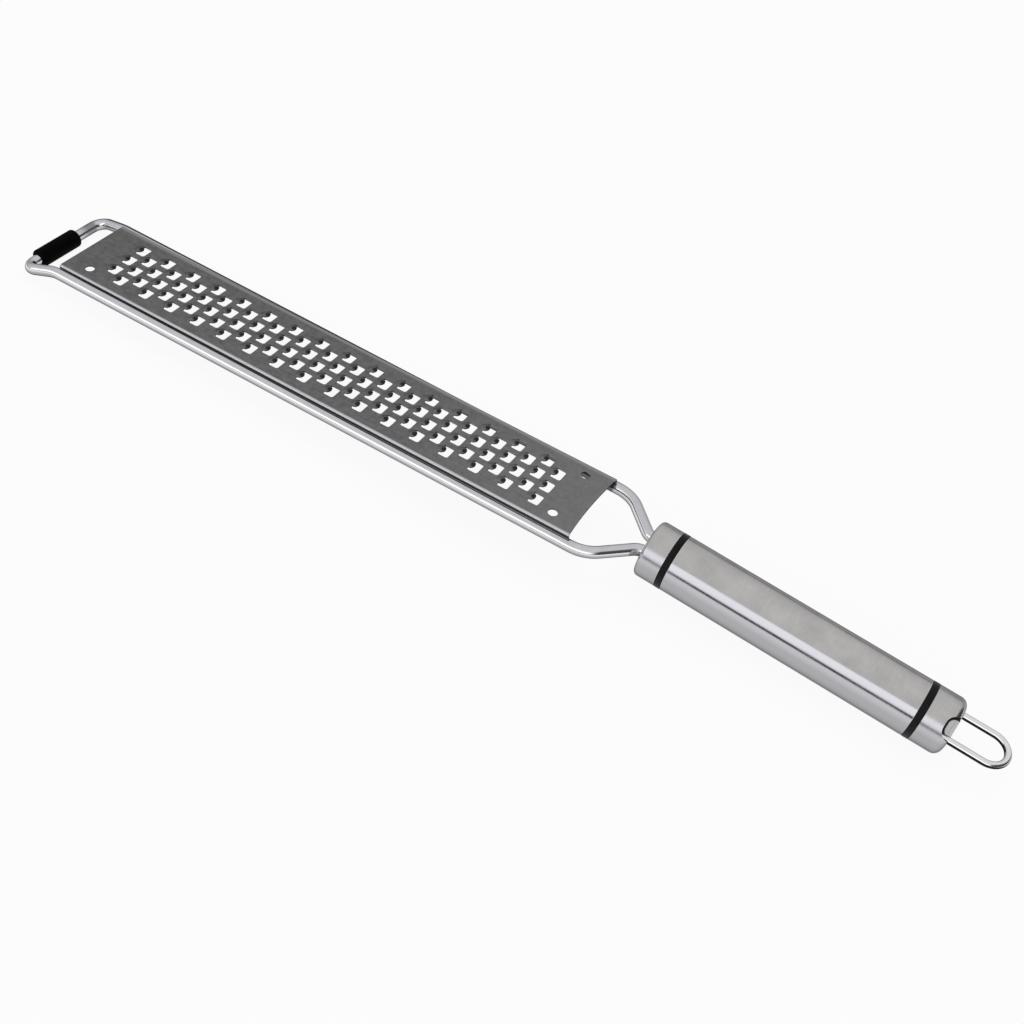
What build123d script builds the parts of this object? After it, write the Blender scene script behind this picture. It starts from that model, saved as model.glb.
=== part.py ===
# Rasp zester: a long flat blade of raised teeth, held on a bent wire frame,
# with a round steel handle that ends in a wire hanging loop.
#
# The pieces are drawn in the blade's frame: X runs along the blade towards the
# handle, Z is up, and the origin is the middle of the blade's top face. At the end
# everything is set down the way the tool lies on a table, on the sleeve at its tip
# and on the back edge of its handle, with the origin under the middle of the tool.

import os
from math import asin, atan2, cos, degrees, hypot, radians, sin, sqrt

from build123d import *

# Driving dimensions, millimetres

BLADE_LENGTH = 220.0
BLADE_WIDTH = 34.4
BLADE_SHEET = 0.5
FLANGE_DEPTH_AT_TIP = 1.45
FLANGE_DEPTH_AT_NECK = 2.1
FLANGE_BEND = 0.9
BLADE_END_HOLLOW = 0.9
CORNER_HOLE_RADIUS = 1.75
CORNER_HOLE_END_INSET = 9.5
CORNER_HOLE_SIDE_INSET = 5.7

TOOTH_PITCH = 12.0
TOOTH_ROW_SPACING = 3.83
TOOTH_END_MARGIN = 13.0
TOOTH_SIDE_MARGIN = 5.0
TOOTH_WINDOW_LENGTH = 4.05
TOOTH_WINDOW_WIDTH = 5.3
TOOTH_WINDOW_CORNER = 0.8
TOOTH_WINDOW_OFFSET = -0.275
TOOTH_TONGUE_RADIUS = 1.75
TOOTH_TONGUE_REACH = 1.9
TOOTH_HOOD_RADIUS = 2.45
TOOTH_HOOD_HEIGHT = 0.65
TOOTH_HOOD_OFFSET = -1.6

WIRE_RADIUS = 2.15
RAIL_OVERHANG_AT_TIP = 1.35
RAIL_OVERHANG_AT_NECK = 0.2
RAIL_CLEARANCE = 0.02
NECK_LENGTH = 22.0
NECK_SHOULDER = 6.6
NECK_SHOULDER_BEND = 13.0
NECK_ENTRY_SPACING = 7.5
NECK_ENTRY_SETBACK = 1.8
NECK_ENTRY_BEND = 5.0
WIRE_TAIL = 22.0

TIP_REACH = 14.8
TIP_DROP = 3.68
TIP_RAMP_LENGTH = 13.5
TIP_RAMP_BEND = 16.0
TIP_FLARE = 2.15
TIP_CORNER_BEND = 4.5

SLEEVE_RADIUS = 3.55
SLEEVE_LENGTH = 19.0
SLEEVE_OFFSET = -3.5
SLEEVE_EDGE = 0.5

HANDLE_RADIUS = 10.2
HANDLE_LENGTH = 112.8
HANDLE_DROOP_DEGREES = 4.6
WIRE_ABOVE_AXIS = 0.87
TUBE_WALL = 1.0
CAP_WALL = 1.2
FRONT_CAP_LENGTH = 8.25
FRONT_CAP_EDGE = 1.6
REAR_CAP_LENGTH = 10.4
REAR_CAP_EDGE = 2.9
RING_WIDTH = 2.3
RING_PROUD = 0.05
PLUG_OVERLAP = 16.0

LOOP_WIRE_RADIUS = 1.22
LOOP_SPACING = 12.8
LOOP_REACH = 18.2
LOOP_ABOVE_AXIS = 1.0
LOOP_TAIL = 13.0

NOTCH_DEPTH = 3.1
NOTCH_WIDTH = 7.0
NOTCH_CORNER = 2.6
NOTCH_FLOOR = 5.4
NOTCH_GROOVE_WIDTH = 0.8
NOTCH_GROOVE_DEPTH = 1.6
NOTCH_TURN_DEGREES = 45.0

WELDS_PER_RAIL = 5
WELD_RADIUS = 0.9
WELD_LENGTH = 5.0
WELD_END_INSET = 14.0

PUSH_FIT = 0.05
CUT_OVERRUN = 1.0
SEAT_STATION_SHARES = (-1.0, -0.5, 0.0, 0.5, 1.0)
EDGE_PICK_TOLERANCE = 0.01

# Places that follow from the sizes above

half_blade = BLADE_LENGTH / 2
deepest_flange = max(FLANGE_DEPTH_AT_TIP, FLANGE_DEPTH_AT_NECK)
teeth_per_row = int((BLADE_LENGTH - 2 * TOOTH_END_MARGIN) / TOOTH_PITCH)
tooth_rows = int((BLADE_WIDTH - 2 * TOOTH_SIDE_MARGIN) / TOOTH_ROW_SPACING)
handle_front_x = half_blade + NECK_LENGTH
droop = radians(HANDLE_DROOP_DEGREES)
bore_radius = HANDLE_RADIUS - TUBE_WALL
cap_bore_radius = HANDLE_RADIUS - CAP_WALL
rear_cap_start = HANDLE_LENGTH - REAR_CAP_LENGTH
tip_x = -half_blade - TIP_REACH
ramp_x = tip_x + TIP_RAMP_LENGTH
shoulder_x = half_blade + NECK_SHOULDER


def rail_line(x, at_tip, at_neck):
    """A value on the straight line through its values at the blade's two ends."""
    return at_tip + (at_neck - at_tip) * (x + half_blade) / BLADE_LENGTH


def seat_height(overhang):
    """How far a rail's centre lies below a folded edge that rests on it."""
    return sqrt(WIRE_RADIUS**2 - overhang**2)


def rail_overhang(x):
    """How far a rail's centre stands out beyond the blade's side."""
    return rail_line(x, RAIL_OVERHANG_AT_TIP, RAIL_OVERHANG_AT_NECK)


def rail_z(x):
    """The height of a rail's centre."""
    at_tip = -FLANGE_DEPTH_AT_TIP - RAIL_CLEARANCE - seat_height(RAIL_OVERHANG_AT_TIP)
    at_neck = -FLANGE_DEPTH_AT_NECK - RAIL_CLEARANCE - seat_height(RAIL_OVERHANG_AT_NECK)
    return rail_line(x, at_tip, at_neck)


def flange_z(x):
    """The height of the folded edge's lower side, which follows the rail."""
    return rail_z(x) + RAIL_CLEARANCE + seat_height(rail_overhang(x))


wire_z = rail_z(shoulder_x)
handle_front_z = wire_z - WIRE_ABOVE_AXIS
tip_z = rail_z(ramp_x) - TIP_DROP

# The handle is drawn along its own X axis, from 0 at its front face
handle_place = Pos(handle_front_x, 0, handle_front_z) * Rot(0, HANDLE_DROOP_DEGREES, 0)


def round_bar(radius, start, end):
    """A round bar along X between two stations."""
    length = end - start
    return Pos(start + length / 2, 0, 0) * Rot(0, 90, 0) * Cylinder(radius, length)


def end_edges(shape, station, radius):
    """The round edges of one radius on the flat face at one station along X."""
    edges = shape.edges().filter_by(GeomType.CIRCLE)
    picked = [edge for edge in edges if abs(edge.center().X - station) < EDGE_PICK_TOLERANCE]
    return [edge for edge in picked if abs(edge.radius - radius) < EDGE_PICK_TOLERANCE]


# Grater blade

def blade_channel():
    """The folded sheet: a flat top with a short flange down each long edge."""
    outer = Pos(0, 0, -deepest_flange / 2) * Box(BLADE_LENGTH, BLADE_WIDTH, deepest_flange)
    outer_edges = outer.edges().filter_by(Axis.X).sort_by(Axis.Z)[-2:]
    outer = fillet(outer_edges, FLANGE_BEND)
    inner_width = BLADE_WIDTH - 2 * BLADE_SHEET
    inner_depth = deepest_flange - BLADE_SHEET + CUT_OVERRUN
    inner = Pos(0, 0, -BLADE_SHEET - inner_depth / 2) * Box(
        BLADE_LENGTH + 2 * CUT_OVERRUN, inner_width, inner_depth
    )
    inner_edges = inner.edges().filter_by(Axis.X).sort_by(Axis.Z)[-2:]
    inner = fillet(inner_edges, FLANGE_BEND - BLADE_SHEET)
    return outer - inner - flange_trim()


def flange_trim():
    """What is cut away below the folded edges, so that they sit on the sloping rails."""
    stations = [half_blade * share for share in SEAT_STATION_SHARES]
    seat = Spline(*[(x, 0, flange_z(x)) for x in stations])
    beyond = half_blade + CUT_OVERRUN
    low = -deepest_flange - 2 * CUT_OVERRUN
    rest = Polyline(
        seat @ 1,
        (beyond, 0, flange_z(half_blade)),
        (beyond, 0, low),
        (-beyond, 0, low),
        (-beyond, 0, flange_z(-half_blade)),
        seat @ 0,
    )
    return extrude(make_face([seat, rest]), BLADE_WIDTH, both=True)


def blade_end_cutter():
    """A shallow round cut that hollows the blade's end facing the handle."""
    half_width = BLADE_WIDTH / 2
    radius = (half_width**2 + BLADE_END_HOLLOW**2) / (2 * BLADE_END_HOLLOW)
    centre_x = half_blade - BLADE_END_HOLLOW + radius
    depth = deepest_flange + CUT_OVERRUN
    return Pos(centre_x, 0, 0) * Cylinder(radius, 2 * depth)


def corner_hole_cutter():
    """A plain round hole near three of the blade's corners."""
    x = half_blade - CORNER_HOLE_END_INSET
    y = BLADE_WIDTH / 2 - CORNER_HOLE_SIDE_INSET
    drill = Cylinder(CORNER_HOLE_RADIUS, 2 * (BLADE_SHEET + CUT_OVERRUN))
    return [Pos(*place, 0) * drill for place in ((-x, -y), (x, -y), (x, y))]


def tooth_places():
    """Centres of the teeth: straight rows, each half a pitch off its neighbour."""
    half_row = (2 * teeth_per_row - 1) / 2
    places = []
    for row in range(tooth_rows):
        y = (row - (tooth_rows - 1) / 2) * TOOTH_ROW_SPACING
        for column in range(teeth_per_row):
            step = 2 * column + (row + 1) % 2
            places.append(Pos((step - half_row) * TOOTH_PITCH / 2, y, 0))
    return places


hood_sphere_radius = (TOOTH_HOOD_RADIUS**2 + TOOTH_HOOD_HEIGHT**2) / (2 * TOOTH_HOOD_HEIGHT)
hood_sphere_z = TOOTH_HOOD_HEIGHT - hood_sphere_radius
window_back_x = TOOTH_WINDOW_OFFSET - TOOTH_WINDOW_LENGTH / 2
tongue_x = window_back_x + TOOTH_TONGUE_REACH - TOOTH_TONGUE_RADIUS


def tooth_hood():
    """The raised round hood of one tooth, solid, standing on the sheet."""
    ball = Pos(TOOTH_HOOD_OFFSET, 0, hood_sphere_z) * Sphere(hood_sphere_radius)
    above = Pos(TOOTH_HOOD_OFFSET, 0, -BLADE_SHEET / 2 + hood_sphere_radius) * Box(
        4 * hood_sphere_radius, 4 * hood_sphere_radius, 2 * hood_sphere_radius
    )
    return ball & above


def tooth_window():
    """What one tooth removes: the hollow under its hood and the window round its tongue."""
    hollow = Pos(TOOTH_HOOD_OFFSET, 0, hood_sphere_z) * Sphere(hood_sphere_radius - BLADE_SHEET)
    height = TOOTH_HOOD_HEIGHT + BLADE_SHEET + 2 * CUT_OVERRUN
    low_z = -BLADE_SHEET - CUT_OVERRUN
    outline = RectangleRounded(TOOTH_WINDOW_LENGTH, TOOTH_WINDOW_WIDTH, TOOTH_WINDOW_CORNER)
    window = Pos(TOOTH_WINDOW_OFFSET, 0, low_z) * extrude(outline, height)
    tongue = Pos(tongue_x, 0, low_z + height / 2) * Cylinder(TOOTH_TONGUE_RADIUS, height)
    return [hollow, window - tongue]


def grater_blade():
    """The toothed blade: the channel, its hollowed end, its holes and its teeth."""
    places = tooth_places()
    hood = tooth_hood()
    hollow, window = tooth_window()
    blade = blade_channel() - blade_end_cutter() - corner_hole_cutter()
    blade = blade + [place * hood for place in places]
    blade = blade - [place * hollow for place in places]
    return blade - [place * window for place in places]


# Wire frame

def frame_path():
    """The centre line of the frame wire, from one end in the handle to the other."""
    entry_y = NECK_ENTRY_SPACING / 2
    tail_x = handle_front_x + WIRE_TAIL
    entry_x = handle_front_x - NECK_ENTRY_SETBACK
    shoulder_y = BLADE_WIDTH / 2 + rail_overhang(shoulder_x)
    ramp_y = BLADE_WIDTH / 2 + rail_overhang(ramp_x)
    near_side = [
        (tail_x, -entry_y, wire_z),
        (entry_x, -entry_y, wire_z),
        (shoulder_x, -shoulder_y, wire_z),
        (ramp_x, -ramp_y, rail_z(ramp_x)),
        (tip_x, -ramp_y - TIP_FLARE, tip_z),
    ]
    far_side = [(x, -y, z) for x, y, z in reversed(near_side)]
    bends = [NECK_ENTRY_BEND, NECK_SHOULDER_BEND, TIP_RAMP_BEND, TIP_CORNER_BEND]
    return FilletPolyline(*near_side, *far_side, radius=bends + bends[::-1])


def swept_wire(radius):
    """A round wire of one radius along the frame's centre line."""
    path = frame_path()
    section = Plane(path @ 0, z_dir=path % 0) * Circle(radius)
    return sweep(section, path=path)


def tip_sleeve():
    """The rubber sleeve pushed over the cross-bar at the tip."""
    sleeve = Rot(90, 0, 0) * Cylinder(SLEEVE_RADIUS, SLEEVE_LENGTH)
    sleeve = fillet(sleeve.edges().filter_by(GeomType.CIRCLE), SLEEVE_EDGE)
    bore = Rot(90, 0, 0) * Cylinder(WIRE_RADIUS + PUSH_FIT, SLEEVE_LENGTH + CUT_OVERRUN)
    return Pos(tip_x, SLEEVE_OFFSET, tip_z) * (sleeve - bore)


def blade_welds(frame, blade):
    """Short beads in the corner between each rail and the inside of its flange."""
    span = BLADE_LENGTH - 2 * WELD_END_INSET
    y = BLADE_WIDTH / 2 - BLADE_SHEET - WELD_RADIUS / 2
    beads = []
    for index in range(WELDS_PER_RAIL):
        x = -span / 2 + span * index / (WELDS_PER_RAIL - 1)
        for side in (-1, 1):
            bead = round_bar(WELD_RADIUS, x - WELD_LENGTH / 2, x + WELD_LENGTH / 2)
            beads.append(Pos(0, side * y, flange_z(x)) * bead)
    return Compound([bead - frame - blade for bead in beads])


# Handle, drawn along its own axis

def front_cap(wire_room):
    """The steel cup at the handle's front, with two holes for the frame wire."""
    cup = round_bar(HANDLE_RADIUS, 0, FRONT_CAP_LENGTH)
    cup = fillet(end_edges(cup, 0, HANDLE_RADIUS), FRONT_CAP_EDGE)
    hollow = round_bar(cap_bore_radius, CAP_WALL, FRONT_CAP_LENGTH + CUT_OVERRUN)
    return cup - hollow - wire_room


def front_plug(wire_room):
    """The insert that grips the wire's ends and carries cap, ring and tube."""
    start = CAP_WALL
    head = round_bar(cap_bore_radius - PUSH_FIT, start, FRONT_CAP_LENGTH)
    shank_end = FRONT_CAP_LENGTH + RING_WIDTH + PLUG_OVERLAP
    shank = round_bar(bore_radius - PUSH_FIT, FRONT_CAP_LENGTH, shank_end)
    return head + shank - wire_room


def ring(start):
    """A black ring in the joint between a cap and the tube."""
    body = round_bar(HANDLE_RADIUS + RING_PROUD, start, start + RING_WIDTH)
    bore = round_bar(bore_radius, start - CUT_OVERRUN, start + RING_WIDTH + CUT_OVERRUN)
    return body - bore


def handle_tube():
    """The long steel tube between the two rings."""
    start = FRONT_CAP_LENGTH + RING_WIDTH
    end = rear_cap_start - RING_WIDTH
    body = round_bar(HANDLE_RADIUS, start, end)
    return body - round_bar(bore_radius, start - CUT_OVERRUN, end + CUT_OVERRUN)


def notch_block(growth, low, high):
    """A block with a notch's rounded outline, grown all round, between two heights."""
    length = 2 * (NOTCH_DEPTH + growth)
    outline = RectangleRounded(length, NOTCH_WIDTH + 2 * growth, NOTCH_CORNER + growth)
    return Pos(HANDLE_LENGTH, 0, low) * extrude(outline, high - low)


def loop_notches():
    """Two notches in the handle's back edge, each with a groove round its flat floor."""
    groove_floor = NOTCH_FLOOR - NOTCH_GROOVE_DEPTH
    opening = notch_block(NOTCH_GROOVE_WIDTH, groove_floor, HANDLE_RADIUS + CUT_OVERRUN)
    cutter = opening - notch_block(0, groove_floor - CUT_OVERRUN, NOTCH_FLOOR)
    turns = (NOTCH_TURN_DEGREES, NOTCH_TURN_DEGREES + 180)
    return [Rot(turn, 0, 0) * cutter for turn in turns]


def loop_path():
    """The centre line of the hanging loop: two straight legs and a half circle."""
    half = LOOP_SPACING / 2
    tail_x = HANDLE_LENGTH - LOOP_TAIL
    bend_x = HANDLE_LENGTH + LOOP_REACH - half
    near_leg = Line((tail_x, -half), (bend_x, -half))
    bend = ThreePointArc((bend_x, -half), (bend_x + half, 0), (bend_x, half))
    far_leg = Line((bend_x, half), (tail_x, half))
    return Pos(0, 0, LOOP_ABOVE_AXIS) * Wire([near_leg, bend, far_leg])


def swept_loop(radius):
    """A round wire of one radius along the loop's centre line."""
    path = loop_path()
    section = Plane(path @ 0, z_dir=path % 0) * Circle(radius)
    return sweep(section, path=path)


def rear_core(radius, start, end_gap):
    """A round core with the rear cap's inner shape, from one station to the cap's end."""
    end = HANDLE_LENGTH - end_gap
    core = round_bar(radius, start, end)
    return fillet(end_edges(core, end, radius), REAR_CAP_EDGE - CAP_WALL)


def rear_cap(loop_room):
    """The steel cup at the handle's back, notched where the loop's legs go in."""
    cup = round_bar(HANDLE_RADIUS, rear_cap_start, HANDLE_LENGTH)
    cup = fillet(end_edges(cup, HANDLE_LENGTH, HANDLE_RADIUS), REAR_CAP_EDGE)
    hollow = rear_core(cap_bore_radius, rear_cap_start - CUT_OVERRUN, CAP_WALL)
    return cup - hollow - loop_room - loop_notches()


def rear_plug(loop_room):
    """The insert that holds the loop's legs and carries cap, ring and tube."""
    head = rear_core(cap_bore_radius - PUSH_FIT, rear_cap_start, CAP_WALL + PUSH_FIT)
    shank_start = rear_cap_start - RING_WIDTH - PLUG_OVERLAP
    shank = round_bar(bore_radius - PUSH_FIT, shank_start, rear_cap_start)
    return head + shank - loop_room - loop_notches()


# Set the tool down on its sleeve and on the back edge of its handle

def resting_pitch():
    """The slope of the line under the sleeve and the handle's back edge, in degrees."""
    edge_x = HANDLE_LENGTH - REAR_CAP_EDGE
    edge_z = REAR_CAP_EDGE - HANDLE_RADIUS
    foot_x = handle_front_x + edge_x * cos(droop) + edge_z * sin(droop)
    foot_z = handle_front_z - edge_x * sin(droop) + edge_z * cos(droop)
    run = foot_x - tip_x
    rise = foot_z - tip_z
    return degrees(atan2(rise, run) - asin((REAR_CAP_EDGE - SLEEVE_RADIUS) / hypot(run, rise)))


def main():
    frame = swept_wire(WIRE_RADIUS)
    wire_room = handle_place.inverse() * swept_wire(WIRE_RADIUS + PUSH_FIT)
    loop_room = swept_loop(LOOP_WIRE_RADIUS + PUSH_FIT)
    blade = grater_blade()
    in_blade_frame = {
        "frame_wire": frame,
        "grater_blade": blade,
        "blade_welds": blade_welds(frame, blade),
        "tip_sleeve": tip_sleeve(),
    }
    in_handle_frame = {
        "front_cap": front_cap(wire_room),
        "front_plug": front_plug(wire_room),
        "front_ring": ring(FRONT_CAP_LENGTH),
        "handle_tube": handle_tube(),
        "rear_ring": ring(rear_cap_start - RING_WIDTH),
        "rear_cap": rear_cap(loop_room),
        "rear_plug": rear_plug(loop_room),
        "hanging_loop": swept_loop(LOOP_WIRE_RADIUS),
    }
    pieces = dict(in_blade_frame)
    for name, shape in in_handle_frame.items():
        pieces[name] = handle_place * shape
    turn = Rot(0, resting_pitch(), 0)
    laid = {name: turn * shape for name, shape in pieces.items()}
    box = Compound(list(laid.values())).bounding_box()
    shift = Pos(-box.center().X, -box.center().Y, -box.min.Z)
    os.makedirs("parts", exist_ok=True)
    for name, shape in laid.items():
        export_step(shift * shape, f"parts/{name}.step")
    print("resting pitch, degrees:", round(resting_pitch(), 3))
    print("size, mm:", box.size, "moved by", shift.position)


main()
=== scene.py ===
# Rasp zester: how it looks. A flat stamped blade on a bent wire frame, with a round
# steel handle. Lengths are in millimetres in the sections and turned to metres when a
# mesh takes its place. The pieces are put together in the order a maker would do it.

import math

import bmesh
import bpy
from mathutils import Matrix, Vector
from mathutils.geometry import delaunay_2d_cdt


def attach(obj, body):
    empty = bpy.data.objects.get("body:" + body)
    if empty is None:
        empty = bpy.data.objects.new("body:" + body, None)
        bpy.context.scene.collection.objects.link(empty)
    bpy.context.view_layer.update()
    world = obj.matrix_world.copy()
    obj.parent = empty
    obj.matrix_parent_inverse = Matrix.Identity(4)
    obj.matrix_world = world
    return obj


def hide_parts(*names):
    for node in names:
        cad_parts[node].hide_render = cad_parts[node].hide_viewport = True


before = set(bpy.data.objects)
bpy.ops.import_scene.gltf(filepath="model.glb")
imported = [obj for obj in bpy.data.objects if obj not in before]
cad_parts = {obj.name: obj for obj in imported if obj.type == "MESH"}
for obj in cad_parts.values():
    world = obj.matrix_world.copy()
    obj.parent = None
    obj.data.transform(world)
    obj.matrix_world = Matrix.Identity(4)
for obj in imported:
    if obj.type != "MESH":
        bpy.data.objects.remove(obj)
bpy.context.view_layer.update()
scene = bpy.context.scene


# ---- Camera -------------------------------------------------------------------------
# A normal lens above the tool's near side, by the handle. It looks down at 45 degrees
# and is tilted, so the tool runs from the upper left to the lower right.

camera_data = bpy.data.cameras.new("camera")
camera_data.sensor_width = 36
camera_data.lens = 49.9
camera_data.shift_x, camera_data.shift_y = -0.0007, -0.0003
camera = bpy.data.objects.new("camera", camera_data)
camera.location = (0.14018, -0.3283, 0.35074)
camera.rotation_euler = [math.radians(angle) for angle in (43.9423, -10.0231, 31.2607)]
scene.collection.objects.link(camera)
scene.camera = camera


# ---- Table, backdrop and lamps --------------------------------------------------------
# A white table under a plain studio sky, which is dimmer low down and dark to the right,
# where the room is open. A tall softbox stands in front of the tool behind a low dark card.

def add_node(tree, kind, inputs=None, **settings):
    """One node of a shader or geometry tree, with its sockets set or joined."""
    made = tree.nodes.new(kind)
    for name, value in settings.items():
        setattr(made, name, value)
    for socket, value in (inputs or {}).items():
        if isinstance(value, bpy.types.NodeSocket):
            tree.links.new(value, made.inputs[socket])
        else:
            made.inputs[socket].default_value = value
    return made


def new_finish(name):
    """An empty material, with its tree and its surface shader."""
    material = bpy.data.materials.new(name)
    material.use_nodes = True
    tree = material.node_tree
    return material, tree, tree.nodes["Principled BSDF"]


def stage_sheet(name, corners, material):
    """A flat staged sheet through four corners."""
    mesh = bpy.data.meshes.new(name)
    mesh.from_pydata(corners, [], [range(len(corners))])
    mesh.materials.append(material)
    sheet = bpy.data.objects.new(name, mesh)
    scene.collection.objects.link(sheet)
    return sheet


table_half = 4.0
table_white = (0.86, 0.86, 0.86, 1)
seen_white = 0.92

table_finish, tree, surface = new_finish("table_white")
surface.inputs["Base Color"].default_value = table_white
surface.inputs["Roughness"].default_value = 0.9
surface.inputs["Specular IOR Level"].default_value = 0.1
rays = add_node(tree, "ShaderNodeLightPath")
mirror_rays = add_node(tree, "ShaderNodeMath", {
    0: rays.outputs["Is Glossy Ray"], 1: rays.outputs["Is Transmission Ray"]}, operation="MAXIMUM")
white_rays = add_node(tree, "ShaderNodeMath", {0: rays.outputs["Is Camera Ray"], 1: mirror_rays.outputs[0]},
                      operation="MAXIMUM")
share = add_node(tree, "ShaderNodeMath", {0: white_rays.outputs[0], 1: seen_white}, operation="MULTIPLY")
plain_white = add_node(tree, "ShaderNodeEmission", {"Color": (1, 1, 1, 1), "Strength": 1.0})
mix = add_node(tree, "ShaderNodeMixShader", {
    0: share.outputs[0], 1: surface.outputs[0], 2: plain_white.outputs[0]})
tree.links.new(mix.outputs[0], tree.nodes["Material Output"].inputs["Surface"])
stage_sheet("table", [(-table_half, -table_half, 0), (table_half, -table_half, 0),
                      (table_half, table_half, 0), (-table_half, table_half, 0)], table_finish)

card_left, card_right, card_front, card_height = -0.3, 0.7, -1.5, 0.2
card_black = (0.03, 0.03, 0.03, 1)

card_finish, tree, surface = new_finish("dark_card")
surface.inputs["Base Color"].default_value = card_black
surface.inputs["Roughness"].default_value = 0.8
dark_card = stage_sheet("dark_card", [
    (card_left, card_front, 0), (card_right, card_front, 0),
    (card_right, card_front, card_height), (card_left, card_front, card_height)], card_finish)
dark_card.visible_camera = False

sky_low, sky_middle, sky_high = (0.34, 0.34, 0.35, 1), (0.66, 0.66, 0.68, 1), (0.74, 0.74, 0.75, 1)
sky_middle_at, sky_high_at = 0.3, 0.9
open_side_shade, open_side_from, open_side_to = (0.06, 0.06, 0.065, 1), 0.54, 0.66

world = bpy.data.worlds.new("studio")
world.use_nodes = True
tree = world.node_tree
sky = tree.nodes["Background"]
ray_place = add_node(tree, "ShaderNodeTexCoord")
ray_parts = add_node(tree, "ShaderNodeSeparateXYZ", {0: ray_place.outputs["Generated"]})
height_shade = add_node(tree, "ShaderNodeValToRGB", {0: ray_parts.outputs["Z"]})
lowest, highest = height_shade.color_ramp.elements
lowest.position, lowest.color = 0.0, sky_low
highest.position, highest.color = sky_high_at, sky_high
height_shade.color_ramp.elements.new(sky_middle_at).color = sky_middle
open_side = add_node(tree, "ShaderNodeMapRange", {
    0: ray_parts.outputs["X"], 1: open_side_from, 2: open_side_to})
studio_shade = add_node(tree, "ShaderNodeMix", {0: open_side.outputs[0]}, data_type="RGBA")
tree.links.new(height_shade.outputs["Color"], studio_shade.inputs["A"])
studio_shade.inputs["B"].default_value = open_side_shade
tree.links.new(studio_shade.outputs["Result"], sky.inputs["Color"])
sky.inputs["Strength"].default_value = 1.0
scene.world = world


def softbox(name, place, aim, width, height, watts):
    """A rectangular lamp at a place, turned towards a point."""
    lamp = bpy.data.lights.new(name, "AREA")
    lamp.shape = "RECTANGLE"
    lamp.size, lamp.size_y, lamp.energy = width, height, watts
    holder = bpy.data.objects.new(name, lamp)
    holder.location = place
    holder.rotation_euler = (Vector(aim) - Vector(place)).to_track_quat("-Z", "Y").to_euler()
    scene.collection.objects.link(holder)
    return holder


softbox("front_softbox", (-0.3, -1.7, 0.77), (-0.3, 0, 0.01), 4.4, 0.95, 9.0)
top_softbox = softbox("top_softbox", (0.1, 0.2, 2.2), (0, 0, 0), 1.6, 1.6, 7.0)
top_softbox.visible_glossy = False

scene.view_settings.view_transform = "Standard"


# ---- Grater blade ---------------------------------------------------------------------
# A strip of rolled stainless sheet. A punch cuts 96 square windows, leaves a round tongue in
# each and domes the sheet behind it. The long edges are folded down. A painted highlight lies on the
# near fold, and painted shade darkens the far fold, the folds' outer faces and the hollow under each tongue.

blade_length, blade_width, blade_sheet = 220.0, 34.4, 0.5
flange_bend, flange_at_tip, flange_at_neck = 0.9, 1.45, 2.1
end_hollow = 0.9
corner_hole_radius, corner_hole_end, corner_hole_side = 1.75, 9.5, 5.7
tooth_pitch, row_spacing, teeth_per_row, tooth_rows = 12.0, 3.83, 16, 6
window_x, window_length, window_width, window_corner = -0.275, 4.05, 5.3, 0.8
tongue_x, tongue_radius = -2.15, 1.75
hood_x, hood_radius, hood_height = -1.6, 2.6, 0.66
bite_x, bite_radius = -1.1, 1.5
cell_x, cell_point, cell_flat = -0.5, 4.2167, 1.7717
rest_tilt = 2.159
blade_light, blade_deep, neck_reflection_grey = (0.27, 0.265, 0.26), (0.13, 0.13, 0.13), (0.36, 0.36, 0.36)
end_shade, tongue_and_crevice_shade = (0.03, 0.03, 0.032), (0.03, 0.03, 0.034)
near_fold_highlight, far_fold_shade, far_edge_highlight = (0.62, 0.62, 0.63), (0.13, 0.13, 0.135), (0.37, 0.37, 0.375)
fold_side, far_edge_side = (0.0158, 0.0163), (0.0148, 0.0158)

laid = Matrix.Translation(Vector((-68.1199, 0, 15.0629)) * 0.001)
laid = laid @ Matrix.Rotation(math.radians(-rest_tilt), 4, "Y") @ Matrix.Scale(0.001, 4)


def cell_depth(x, y):
    """How far a point lies inside the six-sided patch of one tooth."""
    slant = (6 * (cell_point - abs(x - cell_x)) - row_spacing * abs(y)) / math.hypot(6, row_spacing)
    return min(slant, row_spacing - abs(y))


def tooth_lift(x, y):
    """The height of the sheet at a point of the tooth's patch."""
    return hood_height * max(1 - ((x - hood_x) ** 2 + y**2) / hood_radius**2, 0) ** 1.4


def window_gap(x, y):
    """How far a point lies outside the window; less than 0 in the window."""
    out_x = abs(x - window_x) - window_length / 2 + window_corner
    out_y = abs(y) - window_width / 2 + window_corner
    outside = math.hypot(max(out_x, 0), max(out_y, 0)) + min(max(out_x, out_y), 0) - window_corner
    return max(outside, tongue_radius - math.hypot(x - tongue_x, y))


def arc_points(centre, radius, start, end, steps):
    """Points on an arc about a centre, by angle in degrees."""
    angles = [math.radians(start + (end - start) * step / steps) for step in range(steps + 1)]
    return [(centre[0] + radius * math.cos(angle), centre[1] + radius * math.sin(angle)) for angle in angles]


def cut_sheet(points, edges, keep):
    """Triangles through points and edges in the plane, those whose middle is kept."""
    flat, _, faces, _, _, _ = delaunay_2d_cdt([Vector(p) for p in points], edges, [], 0, 1e-5)
    kept = []
    for face in faces:
        middle = sum((flat[corner] for corner in face), Vector((0, 0))) / len(face)
        if keep(middle.x, middle.y):
            kept.append(face)
    return flat, kept


def closed_run(start, count):
    """The edges that join a run of points to a ring."""
    return [(start + step, start + (step + 1) % count) for step in range(count)]


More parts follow.
